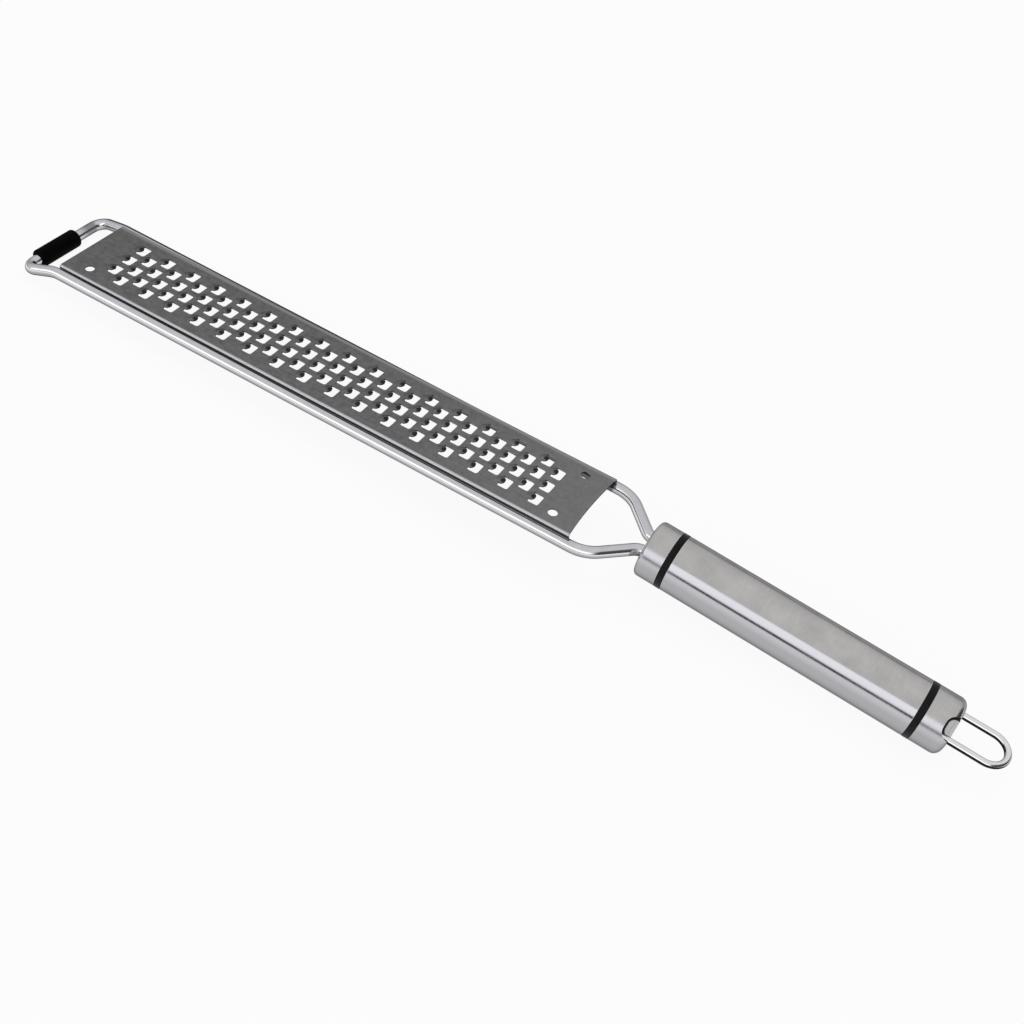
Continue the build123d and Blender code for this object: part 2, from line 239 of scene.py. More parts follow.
# The patch of one tooth: its six sides, the window round the tongue and points over the hood
corners = [(cell_x + cell_point, 0), (cell_x + cell_flat, row_spacing), (cell_x - cell_flat, row_spacing),
           (cell_x - cell_point, 0), (cell_x - cell_flat, -row_spacing), (cell_x + cell_flat, -row_spacing)]
rim = []
for corner, next_corner in zip(corners, corners[1:] + corners[:1]):
    steps = 4
    rim += [Vector(corner).lerp(Vector(next_corner), step / steps) for step in range(steps)]
window_back = window_x - window_length / 2
root_angle = math.degrees(math.acos((window_back - tongue_x) / tongue_radius))
window = arc_points((tongue_x, 0), tongue_radius, -root_angle, root_angle, 20)
far_corner, side_corner = window_length / 2 - window_corner, window_width / 2 - window_corner
for way_x, way_y, first_angle in ((-1, 1, 180), (1, 1, 90), (1, -1, 0), (-1, -1, -90)):
    centre = (window_x + way_x * far_corner, way_y * side_corner)
    window += arc_points(centre, window_corner, first_angle, first_angle - 90, 5)
fill = []
for row in range(-8, 9):
    for column in range(-10, 11):
        x, y = cell_x + 0.46 * (column + 0.5 * (row % 2)), 0.42 * row
        on_hood = (x - hood_x) ** 2 + y**2 < (hood_radius + 0.3) ** 2
        if cell_depth(x, y) > 0.3 and on_hood and window_gap(x, y) > 0.2:
            fill.append((x, y))
cell_points = [tuple(p) for p in rim] + window + fill
cell_edges = closed_run(0, len(rim)) + closed_run(len(rim), len(window))
flat, kept = cut_sheet(cell_points, cell_edges, lambda x, y: cell_depth(x, y) > 0 and window_gap(x, y) > 0)
cell_mesh = bpy.data.meshes.new("tooth_patch")
cell_mesh.from_pydata([(p.x, p.y, tooth_lift(p.x, p.y)) for p in flat], [], kept)
# A painted shade spot under the raised tongue, kept as the dark attribute.
bite = cell_mesh.attributes.new("dark", "FLOAT", "POINT")
bite.data.foreach_set("value", [max(1 - math.hypot(p.x - bite_x, p.y) / bite_radius, 0) for p in flat])
tooth_patch = bpy.data.objects.new("tooth_patch", cell_mesh)
scene.collection.objects.link(tooth_patch)

# The plain sheet round the teeth, with its holes, its hollowed end and its folded edges
places = []
for row in range(tooth_rows):
    for column in range(teeth_per_row):
        shift = 0.25 if row % 2 == 0 else -0.25
        places.append(((column - (teeth_per_row - 1) / 2 + shift) * tooth_pitch,
                       (row - (tooth_rows - 1) / 2) * row_spacing))

half_blade, half_width = blade_length / 2, blade_width / 2
flat_half = half_width - flange_bend
hollow_radius = (half_width**2 + end_hollow**2) / (2 * end_hollow)


def neck_end_x(y):
    """The blade's end at the neck, hollowed in an arc."""
    return half_blade - end_hollow + hollow_radius - math.sqrt(hollow_radius**2 - y**2)


stations = [-half_blade + blade_length * step / 40 for step in range(41)]
side_points = [(x, -flat_half) for x in stations[:-1]] + [(neck_end_x(flat_half), -flat_half)]
end_points = [(neck_end_x(y), y) for y in [flat_half * step / 8 for step in range(-7, 8)]]
tip_points = [(-half_blade, flat_half * step / 8) for step in range(7, -8, -1)]
outline = side_points + end_points + [(x, -y) for x, y in reversed(side_points)] + tip_points
sheet_points = list(outline)
sheet_edges = closed_run(0, len(outline))
hole_x, hole_y = half_blade - corner_hole_end, half_width - corner_hole_side
hole_places = [(-hole_x, -hole_y), (hole_x, -hole_y), (hole_x, hole_y)]
for place in hole_places:
    ring = arc_points(place, corner_hole_radius, 0, 360, 32)[:-1]
    sheet_edges += closed_run(len(sheet_points), 32)
    sheet_points += ring

rim_uses = {}
for place_x, place_y in places:
    loop = [(round(place_x + p[0], 4), round(place_y + p[1], 4)) for p in rim]
    for first, second in zip(loop, loop[1:] + loop[:1]):
        edge = tuple(sorted((first, second)))
        rim_uses[edge] = rim_uses.get(edge, 0) + 1
outer_rim = [edge for edge, uses in rim_uses.items() if uses == 1]
rim_index = {}
for edge in outer_rim:
    for point in edge:
        if point not in rim_index:
            rim_index[point] = len(sheet_points)
            sheet_points.append(point)
    sheet_edges.append((rim_index[edge[0]], rim_index[edge[1]]))


def on_plain_sheet(x, y):
    """Whether a point is on the sheet, outside the holes and the teeth's patches."""
    if any(math.hypot(x - hx, y - hy) < corner_hole_radius for hx, hy in hole_places):
        return False
    return x < neck_end_x(y) and not any(cell_depth(x - px, y - py) > 0 for px, py in places)


flat, kept = cut_sheet(sheet_points, sheet_edges, on_plain_sheet)
blade_verts = [(p.x, p.y, 0) for p in flat]
blade_faces = [tuple(face) for face in kept]
blade_painted_shade = [0.0] * len(flat)
fold = [(half_width - flange_bend + flange_bend * math.sin(turn), flange_bend * (math.cos(turn) - 1))
        for turn in [math.radians(90 * step / 6) for step in range(7)]]
for side in (-1, 1):
    first = len(blade_verts)
    for station in stations:
        along = (station + half_blade) / blade_length
        depth = flange_at_tip + (flange_at_neck - flange_at_tip) * along
        for y, z in fold + [(half_width, (-flange_bend - depth) / 2), (half_width, -depth)]:
            end = neck_end_x(y) if station == stations[-1] else station
            blade_verts.append((end, side * y, z))
        # The folds' outer faces get the dark attribute, for painted shade in the crevice over the rail.
        blade_painted_shade += [0.0] * (len(fold) - 2) + [0.1, 1.0, 1.0, 0.15]
    for step in range(len(stations) - 1):
        for ring_step in range(len(fold) + 1):
            a = first + step * (len(fold) + 2) + ring_step
            quad = (a, a + 1, a + len(fold) + 3, a + len(fold) + 2)
            blade_faces.append(quad if side < 0 else quad[::-1])

plain_sheet = bpy.data.meshes.new("plain_sheet")
plain_sheet.from_pydata(blade_verts, [], blade_faces)
plain_sheet.attributes.new("dark", "FLOAT", "POINT").data.foreach_set("value", blade_painted_shade)
blade_body = bpy.data.objects.new("blade_body", plain_sheet)
scene.collection.objects.link(blade_body)


def geometry_tree(name, inputs):
    """An empty geometry tree with named inputs, and its two end nodes."""
    tree = bpy.data.node_groups.new(name, "GeometryNodeTree")
    tree.interface.new_socket("Geometry", in_out="INPUT", socket_type="NodeSocketGeometry")
    for label, kind in inputs:
        tree.interface.new_socket(label, in_out="INPUT", socket_type="NodeSocket" + kind)
    tree.interface.new_socket("Geometry", in_out="OUTPUT", socket_type="NodeSocketGeometry")
    return tree, tree.nodes.new("NodeGroupInput").outputs, tree.nodes.new("NodeGroupOutput").inputs


def give_inputs(made, tree, values):
    """A geometry modifier on an object, with its named inputs set."""
    modifier = made.modifiers.new(tree.name, "NODES")
    modifier.node_group = tree
    for item in tree.interface.items_tree:
        if item.in_out == "INPUT" and item.name in values:
            modifier[item.identifier] = values[item.name]


def finished(made, name, place):
    """The plain mesh that an object's modifiers make, laid in its place, as a new piece."""
    bpy.context.view_layer.update()
    graph = bpy.context.evaluated_depsgraph_get()
    mesh = bpy.data.meshes.new_from_object(made.evaluated_get(graph), depsgraph=graph)
    mesh.name = name
    mesh.transform(place)
    bpy.data.objects.remove(made)
    piece = bpy.data.objects.new(name, mesh)
    scene.collection.objects.link(piece)
    return piece


tree, given, result = geometry_tree("stamped_teeth", [
    ("Tooth Patch", "Object"), ("Tooth Pitch", "Float"), ("Row Spacing", "Float"),
    ("Teeth per Row", "Int"), ("Tooth Rows", "Int"), ("Join Distance", "Float"), ("Finish", "Material")])


def math_node(tree, operation, first, second):
    """The value of one operation on two values."""
    return add_node(tree, "ShaderNodeMath", {0: first, 1: second}, operation=operation).outputs[0]


row_gaps = math_node(tree, "SUBTRACT", given["Tooth Rows"], 1.0)
tooth_gaps = math_node(tree, "SUBTRACT", given["Teeth per Row"], 1.0)
field_width = math_node(tree, "MULTIPLY", row_gaps, given["Row Spacing"])
field_length = math_node(tree, "MULTIPLY", tooth_gaps, given["Tooth Pitch"])
field = add_node(tree, "GeometryNodeMeshGrid", {
    "Size X": field_length, "Size Y": field_width,
    "Vertices X": given["Teeth per Row"], "Vertices Y": given["Tooth Rows"]})
spot = add_node(tree, "GeometryNodeInputPosition")
spot_parts = add_node(tree, "ShaderNodeSeparateXYZ", {0: spot.outputs[0]})
from_edge = math_node(tree, "ADD", spot_parts.outputs["Y"], math_node(tree, "MULTIPLY", field_width, 0.5))
row_number = math_node(tree, "ROUND", math_node(tree, "DIVIDE", from_edge, given["Row Spacing"]), 0.0)
odd_row = math_node(tree, "FLOORED_MODULO", row_number, 2.0)
shift_share = math_node(tree, "SUBTRACT", 0.25, math_node(tree, "MULTIPLY", odd_row, 0.5))
stagger = math_node(tree, "MULTIPLY", shift_share, given["Tooth Pitch"])
stagger_way = add_node(tree, "ShaderNodeCombineXYZ", {"X": stagger})
staggered = add_node(tree, "GeometryNodeSetPosition", {
    "Geometry": field.outputs["Mesh"], "Offset": stagger_way.outputs[0]})
patch = add_node(tree, "GeometryNodeObjectInfo", {"Object": given["Tooth Patch"]})
teeth = add_node(tree, "GeometryNodeInstanceOnPoints", {
    "Points": staggered.outputs[0], "Instance": patch.outputs["Geometry"]})
realized = add_node(tree, "GeometryNodeRealizeInstances", {0: teeth.outputs[0]})
joined = add_node(tree, "GeometryNodeJoinGeometry")
tree.links.new(given["Geometry"], joined.inputs[0])
tree.links.new(realized.outputs[0], joined.inputs[0])
merged = add_node(tree, "GeometryNodeMergeByDistance", {
    "Geometry": joined.outputs[0], "Distance": given["Join Distance"]})
finished_geometry = add_node(tree, "GeometryNodeSetMaterial", {
    "Geometry": merged.outputs[0], "Material": given["Finish"]})
tree.links.new(finished_geometry.outputs[0], result["Geometry"])
teeth_tree = tree


def steel_lay_group():
    """Shade, roughness and height of the fine lay that rolling, drawing or brushing leaves."""
    tree = bpy.data.node_groups.new("steel_lay", "ShaderNodeTree")
    for label, kind in (("Place", "Vector"), ("Lay Scale", "Vector"), ("Cloud Scale", "Float")):
        tree.interface.new_socket(label, in_out="INPUT", socket_type="NodeSocket" + kind)
    for label in ("Lay", "Cloud"):
        tree.interface.new_socket(label, in_out="OUTPUT", socket_type="NodeSocketFloat")
    given = tree.nodes.new("NodeGroupInput").outputs
    result = tree.nodes.new("NodeGroupOutput").inputs
    stretched = add_node(tree, "ShaderNodeVectorMath", {
        0: given["Place"], 1: given["Lay Scale"]}, operation="MULTIPLY")
    lay = add_node(tree, "ShaderNodeTexNoise", {
        "Vector": stretched.outputs[0], "Scale": 1.0, "Detail": 3.0, "Roughness": 0.65})
    cloud = add_node(tree, "ShaderNodeTexNoise", {
        "Vector": given["Place"], "Scale": given["Cloud Scale"], "Detail": 4.0, "Roughness": 0.6})
    tree.links.new(lay.outputs["Fac"], result["Lay"])
    tree.links.new(cloud.outputs["Fac"], result["Cloud"])
    return tree


steel_lay = steel_lay_group()


def steel_finish(name, base, dark_base, rough_low, rough_high, lay_scale, cloud_scale, height, place_from):
    """A metal whose shade, gloss and relief follow its lay and a soft cloud."""
    material, tree, surface = new_finish(name)
    if place_from == "lay":
        place = add_node(tree, "ShaderNodeAttribute", attribute_name="lay").outputs["Vector"]
    else:
        where = add_node(tree, "ShaderNodeTexCoord")
        turned = add_node(tree, "ShaderNodeMapping", {
            "Vector": where.outputs["Object"], "Rotation": (0, math.radians(place_from), 0),
            "Scale": (1000, 1000, 1000)})
        place = turned.outputs[0]
    marks = add_node(tree, "ShaderNodeGroup", node_tree=steel_lay)
    tree.links.new(place, marks.inputs["Place"])
    marks.inputs["Lay Scale"].default_value = lay_scale
    marks.inputs["Cloud Scale"].default_value = cloud_scale
    blend = math_node(tree, "ADD", math_node(tree, "MULTIPLY", marks.outputs["Cloud"], 0.6),
                      math_node(tree, "MULTIPLY", marks.outputs["Lay"], 0.4))
    shade = add_node(tree, "ShaderNodeMapRange", {0: blend, 1: 0.3, 2: 0.7})
    colour = add_node(tree, "ShaderNodeMix", {0: shade.outputs[0]}, data_type="RGBA")
    colour.inputs["A"].default_value = (*dark_base, 1)
    colour.inputs["B"].default_value = (*base, 1)
    tree.links.new(colour.outputs["Result"], surface.inputs["Base Color"])
    gloss = add_node(tree, "ShaderNodeMapRange", {0: blend, 1: 0.3, 2: 0.7, 3: rough_low, 4: rough_high})
    tree.links.new(gloss.outputs[0], surface.inputs["Roughness"])
    relief = add_node(tree, "ShaderNodeBump", {
        "Strength": 1.0, "Distance": height, "Height": marks.outputs["Lay"]})
    tree.links.new(relief.outputs[0], surface.inputs["Normal"])
    surface.inputs["Metallic"].default_value = 1.0
    surface.inputs["Specular Tint"].default_value = (0.35, 0.35, 0.36, 1)
    return material


def parts_of(material, output):
    """X, Y and Z of an object coordinate or normal, in a material."""
    tree = material.node_tree
    where = add_node(tree, "ShaderNodeTexCoord")
    return add_node(tree, "ShaderNodeSeparateXYZ", {0: where.outputs[output]}).outputs


def lay_over(material, mask, colour):
    """One more colour over a metal's own, where a mask is 1."""
    tree = material.node_tree
    target = tree.nodes["Principled BSDF"].inputs["Base Color"]
    own = target.links[0].from_socket
    mixed = add_node(tree, "ShaderNodeMix", {0: mask}, data_type="RGBA")
    tree.links.new(own, mixed.inputs["A"])
    mixed.inputs["B"].default_value = (*colour, 1)
    tree.links.new(mixed.outputs["Result"], target)


def rise(tree, value, low, high):
    """A mask that climbs from 0 at one value to 1 at another."""
    return add_node(tree, "ShaderNodeMapRange", {0: value, 1: low, 2: high}).outputs[0]


def both(tree, first, second):
    """The product of two masks, or of a mask and a strength."""
    return math_node(tree, "MULTIPLY", first, second)


def size_of(tree, value):
    """A value without its sign."""
    return math_node(tree, "ABSOLUTE", value, 0.0)


blade_steel = steel_finish("blade_steel", blade_light, blade_deep, 0.38, 0.52,
                           (0.12, 2.2, 2.2), 0.55, 0.00001, rest_tilt)
tree = blade_steel.node_tree
facing = parts_of(blade_steel, "Normal")
spot = parts_of(blade_steel, "Object")
# Painted reflection: the sheet is made lighter towards the neck end.
lay_over(blade_steel, both(tree, rise(tree, spot["X"], -0.03, 0.04), 0.3), neck_reflection_grey)
# Painted shade on faces that turn towards the neck end, such as the windows' cut walls.
lay_over(blade_steel, rise(tree, facing["X"], 0.1, 0.35), end_shade)
on_fold = rise(tree, size_of(tree, spot["Y"]), *fold_side)
# Painted highlight on the near fold.
near_fold_highlight_mask = rise(tree, facing["Y"], -0.15, -0.35)
lay_over(blade_steel, both(tree, near_fold_highlight_mask, on_fold), near_fold_highlight)
# Painted highlight along the sheet's far edge.
lay_over(blade_steel, rise(tree, spot["Y"], *far_edge_side), far_edge_highlight)
# Painted shade on the far fold.
far_fold_shade_mask = rise(tree, facing["Y"], 0.15, 0.35)
lay_over(blade_steel, both(tree, far_fold_shade_mask, on_fold), far_fold_shade)
# Painted shade under each tongue and on the folds' outer faces.
dark = add_node(tree, "ShaderNodeAttribute", attribute_name="dark").outputs["Fac"]
lay_over(blade_steel, both(tree, rise(tree, dark, 0.1, 0.5), 0.95), tongue_and_crevice_shade)

give_inputs(blade_body, teeth_tree, {
    "Tooth Patch": tooth_patch, "Tooth Pitch": tooth_pitch, "Row Spacing": row_spacing,
    "Teeth per Row": teeth_per_row, "Tooth Rows": tooth_rows, "Join Distance": 0.002, "Finish": blade_steel})
gauge = blade_body.modifiers.new("sheet_gauge", "SOLIDIFY")
gauge.thickness, gauge.offset, gauge.use_even_offset = blade_sheet, -1, True
blade = finished(blade_body, "stamped_blade", laid)
bpy.data.objects.remove(tooth_patch)
blade.data.polygons.foreach_set("use_smooth", [True] * len(blade.data.polygons))
blade.data.set_sharp_from_angle(angle=math.radians(38))
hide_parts("grater_blade")
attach(blade, "root")


# ---- Frame wire -----------------------------------------------------------------------
# One length of round stainless wire, bent cold: it drops to a cross bar at the tip, runs
# under both edges of the blade, and draws in to two arms that end inside the handle.

wire_radius, rail_clearance = 2.15, 0.02
overhang_at_tip, overhang_at_neck = 1.35, 0.2
neck_length, wire_tail = 22.0, 22.0
entry_side, entry_setback, entry_bend = 3.75, 1.8, 5.0
shoulder_reach, shoulder_bend = 6.6, 13.0
tip_reach, tip_drop, tip_flare, tip_bend = 14.8, 3.68, 2.15, 4.5
ramp_length, ramp_bend = 13.5, 16.0
wire_light, wire_deep = (0.74, 0.74, 0.76), (0.62, 0.62, 0.64)
flank_shade, belly_shade, painted_highlight_white = (0.33, 0.33, 0.34), (0.12, 0.12, 0.125), (0.87, 0.87, 0.88)
under_blade_shadow, crevice_shade, rim_shade = (0.12, 0.12, 0.122), (0.04, 0.04, 0.042), (0.09, 0.09, 0.095)
handle_front_x = half_blade + neck_length
shoulder_x = half_blade + shoulder_reach
tip_x = -half_blade - tip_reach
ramp_x = tip_x + ramp_length


def rail_place(x):
    """A rail's side place and height: it rests under the folded edge, closer in at the neck."""
    along = (x + half_blade) / blade_length
    ends = []
    for overhang, depth in ((overhang_at_tip, flange_at_tip), (overhang_at_neck, flange_at_neck)):
        seat = math.sqrt(wire_radius**2 - overhang**2)
        ends.append(Vector((half_width + overhang, -depth - rail_clearance - seat)))
    return ends[0] + (ends[1] - ends[0]) * along


shoulder_y, wire_z = rail_place(shoulder_x)
ramp_y, ramp_z = rail_place(ramp_x)
tip_z = ramp_z - tip_drop
near_side = [
    (handle_front_x + wire_tail, -entry_side, wire_z, 0),
    (handle_front_x - entry_setback, -entry_side, wire_z, entry_bend),
    (shoulder_x, -shoulder_y, wire_z, shoulder_bend),
    (ramp_x, -ramp_y, ramp_z, ramp_bend),
    (tip_x, -ramp_y - tip_flare, tip_z, tip_bend)]
frame_route = near_side + [(x, -y, z, bend) for x, y, z, bend in reversed(near_side)]

tree, given, result = geometry_tree("bent_wire", [
    ("Wire Radius", "Float"), ("Bend Steps", "Int"), ("Round Steps", "Int"), ("Finish", "Material")])
bend_radius = add_node(tree, "GeometryNodeInputRadius")
bent = add_node(tree, "GeometryNodeFilletCurve", {
    "Curve": given["Geometry"], "Count": given["Bend Steps"], "Radius": bend_radius.outputs[0]}, mode="POLY")
even = add_node(tree, "GeometryNodeSetCurveRadius", {"Curve": bent.outputs[0], "Radius": 1.0})
along = add_node(tree, "GeometryNodeSplineParameter")
run = add_node(tree, "GeometryNodeStoreNamedAttribute", {
    "Geometry": even.outputs[0], "Name": "run", "Value": along.outputs["Length"]},
    data_type="FLOAT", domain="POINT")
section = add_node(tree, "GeometryNodeCurvePrimitiveCircle", {
    "Resolution": given["Round Steps"], "Radius": given["Wire Radius"]})
section_place = add_node(tree, "GeometryNodeInputPosition")
rounded = add_node(tree, "GeometryNodeStoreNamedAttribute", {
    "Geometry": section.outputs["Curve"], "Name": "round", "Value": section_place.outputs[0]},
    data_type="FLOAT_VECTOR", domain="POINT")
wire_body = add_node(tree, "GeometryNodeCurveToMesh", {
    "Curve": run.outputs[0], "Profile Curve": rounded.outputs[0], "Fill Caps": True})
run_read = add_node(tree, "GeometryNodeInputNamedAttribute", {"Name": "run"}, data_type="FLOAT")
round_read = add_node(tree, "GeometryNodeInputNamedAttribute", {"Name": "round"}, data_type="FLOAT_VECTOR")
round_parts = add_node(tree, "ShaderNodeSeparateXYZ", {0: round_read.outputs["Attribute"]})
lay = add_node(tree, "ShaderNodeCombineXYZ", {
    "X": run_read.outputs["Attribute"], "Y": round_parts.outputs["X"], "Z": round_parts.outputs["Y"]})
laid_wire = add_node(tree, "GeometryNodeStoreNamedAttribute", {
    "Geometry": wire_body.outputs[0], "Name": "lay", "Value": lay.outputs[0]},
    data_type="FLOAT_VECTOR", domain="POINT")
smooth = add_node(tree, "GeometryNodeSetShadeSmooth", {
    "Geometry": laid_wire.outputs[0], "Shade Smooth": True})
realized = add_node(tree, "GeometryNodeRealizeInstances", {0: smooth.outputs[0]})
finished_geometry = add_node(tree, "GeometryNodeSetMaterial", {
    "Geometry": realized.outputs[0], "Material": given["Finish"]})
tree.links.new(finished_geometry.outputs[0], result["Geometry"])
wire_tree = tree


def bent_wire(name, route, values, place):
    """A round wire bent along a route of (x, y, z, bend radius)."""
    curve = bpy.data.curves.new(name, "CURVE")
    curve.dimensions = "3D"
    spline = curve.splines.new("POLY")
    spline.points.add(len(route) - 1)
    for point, (x, y, z, bend) in zip(spline.points, route):
        point.co, point.radius = (x, y, z, 1), bend
    made = bpy.data.objects.new(name, curve)
    scene.collection.objects.link(made)
    give_inputs(made, wire_tree, values)
    wire = finished(made, name, place)
    wire.data.set_sharp_from_angle(angle=math.radians(50))
    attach(wire, "root")
    return wire


drawn_steel = steel_finish("drawn_steel", wire_light, wire_deep, 0.1, 0.2,
                           (0.05, 3.0, 3.0), 0.25, 0.000006, "lay")
tree = drawn_steel.node_tree
facing = parts_of(drawn_steel, "Normal")
spot = parts_of(drawn_steel, "Object")
# Painted shade on the wire's flanks and underside.
lay_over(drawn_steel, both(tree, rise(tree, facing["Z"], 0.35, 0.0), 0.75), flank_shade)
lay_over(drawn_steel, both(tree, rise(tree, facing["Z"], -0.1, -0.6), 0.8), belly_shade)
# Painted highlight: a white band on the wire's upper near side.
highlight_band = both(tree, rise(tree, facing["Z"], 0.2, 0.4), rise(tree, facing["Z"], 0.82, 0.7))
lay_over(drawn_steel, both(tree, highlight_band, rise(tree, facing["Y"], -0.2, -0.5)), painted_highlight_white)
# Painted shadow where the rails run under the blade, and painted shade in the crevice by its fold.
from_axis = size_of(tree, spot["Y"])
from_middle = size_of(tree, math_node(tree, "ADD", spot["X"], 0.068))
under_blade_shadow_mask = both(tree, rise(tree, from_axis, 0.0172, 0.0169), rise(tree, from_middle, 0.1105, 0.1095))
lay_over(drawn_steel, under_blade_shadow_mask, under_blade_shadow)
lay_over(drawn_steel, both(tree, under_blade_shadow_mask, rise(tree, from_axis, 0.0161, 0.0165)), crevice_shade)
# Painted shade: a dark line along the far rail's upper rim.
far_rim_shade_mask = both(tree, rise(tree, facing["Y"], -0.2, 0.1), rise(tree, spot["Y"], 0.008, 0.012))
lay_over(drawn_steel, both(tree, far_rim_shade_mask, rise(tree, spot["X"], 0.045, 0.035)), rim_shade)

frame_wire = bent_wire("bent_frame", frame_route, {
    "Wire Radius": wire_radius, "Bend Steps": 14, "Round Steps": 40, "Finish": drawn_steel}, laid)
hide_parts("frame_wire")


# ---- Welds ----------------------------------------------------------------------------
# Short beads that hold the blade's folded edges to the rails. They sit in the corner
# under the blade, out of sight from above, and keep their plain weld colour.

weld_steel = steel_finish("weld_steel", (0.5, 0.49, 0.48), (0.32, 0.31, 0.3), 0.35, 0.55,
                          (1.5, 1.5, 1.5), 0.8, 0.00003, rest_tilt)
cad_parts["blade_welds"].material_slots[0].material = weld_steel


# ---- Tip sleeve -----------------------------------------------------------------------
# A short black rubber tube pushed over the cross bar, so the tip stands on the table
# without slipping or marking it. It is dull, with a fine grain from its mould.

sleeve_radius, sleeve_bore, sleeve_edge = 3.55, 2.2, 0.6
sleeve_length, sleeve_offset = 19.0, -3.5
rubber_black, rubber_dust = (0.001, 0.001, 0.001), (0.003, 0.003, 0.003)


def tube_outline(start, end, bore, radius, edge):
    """The section of a tube's wall, as (station, radius), with its outer edges rounded."""
    first = arc_points((start + edge, radius - edge), edge, 180, 90, 5)
    last = arc_points((end - edge, radius - edge), edge, 90, 0, 5)
    return [(start, bore), *first, *last, (end, bore)]


def turned_piece(name, outline, place, finish):
    """A round piece turned about its X axis from the closed outline of its wall."""
    steps = 96
    verts, faces = [], []
    for station, radius in outline:
        for step in range(steps):
            angle = 2 * math.pi * step / steps
            verts.append((station, radius * math.cos(angle), radius * math.sin(angle)))
    for ring in range(len(outline)):
        next_ring = (ring + 1) % len(outline)
        for step in range(steps):
            next_step = (step + 1) % steps
            faces.append((ring * steps + step, ring * steps + next_step,
                          next_ring * steps + next_step, next_ring * steps + step))
    mesh = bpy.data.meshes.new(name)
    mesh.from_pydata(verts, [], faces)
    shape = bmesh.new()
    shape.from_mesh(mesh)
    bmesh.ops.recalc_face_normals(shape, faces=shape.faces)
    shape.to_mesh(mesh)
    shape.free()
    mesh.transform(place)
    mesh.polygons.foreach_set("use_smooth", [True] * len(mesh.polygons))
    mesh.set_sharp_from_angle(angle=math.radians(40))
    mesh.materials.append(finish)
    piece = bpy.data.objects.new(name, mesh)
    scene.collection.objects.link(piece)
    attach(piece, "root")
    return piece


def dull_finish(name, base, dust, roughness, shine, grain_scale, grain_height):
    """A dull black with a fine moulded grain and a trace of dust."""
    material, tree, surface = new_finish(name)
    where = add_node(tree, "ShaderNodeTexCoord")
    grain = add_node(tree, "ShaderNodeTexNoise", {
        "Vector": where.outputs["Object"], "Scale": grain_scale, "Detail": 3.0, "Roughness": 0.6})
    patches = add_node(tree, "ShaderNodeTexNoise", {
        "Vector": where.outputs["Object"], "Scale": 300.0, "Detail": 4.0})
    dusty = rise(tree, patches.outputs["Fac"], 0.45, 0.75)
    colour = add_node(tree, "ShaderNodeMix", {0: dusty}, data_type="RGBA")
    colour.inputs["A"].default_value = (*base, 1)
    colour.inputs["B"].default_value = (*dust, 1)
    tree.links.new(colour.outputs["Result"], surface.inputs["Base Color"])
    gloss = add_node(tree, "ShaderNodeMapRange", {
        0: grain.outputs["Fac"], 1: 0.3, 2: 0.7, 3: roughness - 0.08, 4: roughness + 0.08})
    tree.links.new(gloss.outputs[0], surface.inputs["Roughness"])
    relief = add_node(tree, "ShaderNodeBump", {
        "Strength": 1.0, "Distance": grain_height, "Height": grain.outputs["Fac"]})
    tree.links.new(relief.outputs[0], surface.inputs["Normal"])
    surface.inputs["Specular IOR Level"].default_value = shine
    return material


black_rubber = dull_finish("black_rubber", rubber_black, rubber_dust, 0.75, 0.04, 4000.0, 0.00003)
bar_place = laid @ Matrix.Translation((tip_x, sleeve_offset, tip_z))
bar_place = bar_place @ Matrix.Rotation(math.radians(90), 4, "Z")
sleeve_outline = tube_outline(-sleeve_length / 2, sleeve_length / 2, sleeve_bore, sleeve_radius, sleeve_edge)
sleeve = turned_piece("rubber_sleeve", sleeve_outline, bar_place, black_rubber)
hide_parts("tip_sleeve")


# ---- Handle ---------------------------------------------------------------------------
# A brushed steel tube between two drawn steel cups, with a black ring squeezed into each
# joint. The inserts inside hold it together, and only their faces show in the notches.

handle_radius, handle_length, handle_bore = 10.2, 112.8, 9.2
front_cap_length, rear_cap_length, tube_edge = 8.25, 10.4, 0.3
ring_width, ring_proud, ring_edge = 2.3, 0.05, 0.25
handle_droop, wire_above_axis = 4.6, 0.87
notch_floor, notch_reach, notch_half, notch_corner = 5.4, 4.0, 4.5, 2.6
floor_reach, floor_half, floor_rim, groove_depth, end_gap = 3.2, 3.5, 0.6, 1.8, 0.6
satin_light, satin_deep = (0.66, 0.64, 0.615), (0.47, 0.465, 0.46)
highlight_dimming_grey, lower_side_shade, far_side_shade = (0.54, 0.54, 0.57), (0.42, 0.42, 0.43), (0.15, 0.15, 0.155)
plug_light, plug_deep, notch_shade = (0.6, 0.6, 0.61), (0.5, 0.5, 0.5), (0.03, 0.03, 0.032)
ring_black, ring_dust = (0.004, 0.004, 0.0045), (0.009, 0.009, 0.01)
handle_tilt = rest_tilt - handle_droop
handle_place = laid @ Matrix.Translation((handle_front_x, 0, wire_z - wire_above_axis))
handle_place = handle_place @ Matrix.Rotation(math.radians(handle_droop), 4, "Y")


def satin_finish(name, rough_low, rough_high):
    """Steel brushed along the handle, with painted shade: a dimmer, cooler band where the lamp's highlight
    falls, a darker lower side and a dark far side.
    """
    material = steel_finish(name, satin_light, satin_deep, rough_low, rough_high,
                            (6.0, 0.15, 0.15), 0.12, 0.000002, handle_tilt)
    tree, facing = material.node_tree, parts_of(material, "Normal")
    # Painted shade that dims and cools the band where the lamp's highlight falls.
    lamp_highlight_band = both(tree, rise(tree, facing["Z"], 0.74, 0.64), rise(tree, facing["Y"], -0.2, -0.4))
    lay_over(material, lamp_highlight_band, highlight_dimming_grey)
    # Painted shade on the handle's lower side.
    lay_over(material, rise(tree, facing["Z"], 0.3, 0.1), lower_side_shade)
    # Painted shade on the handle's far side.
    lay_over(material, both(tree, rise(tree, facing["Y"], 0.2, 0.8), 0.85), far_side_shade)
    return material


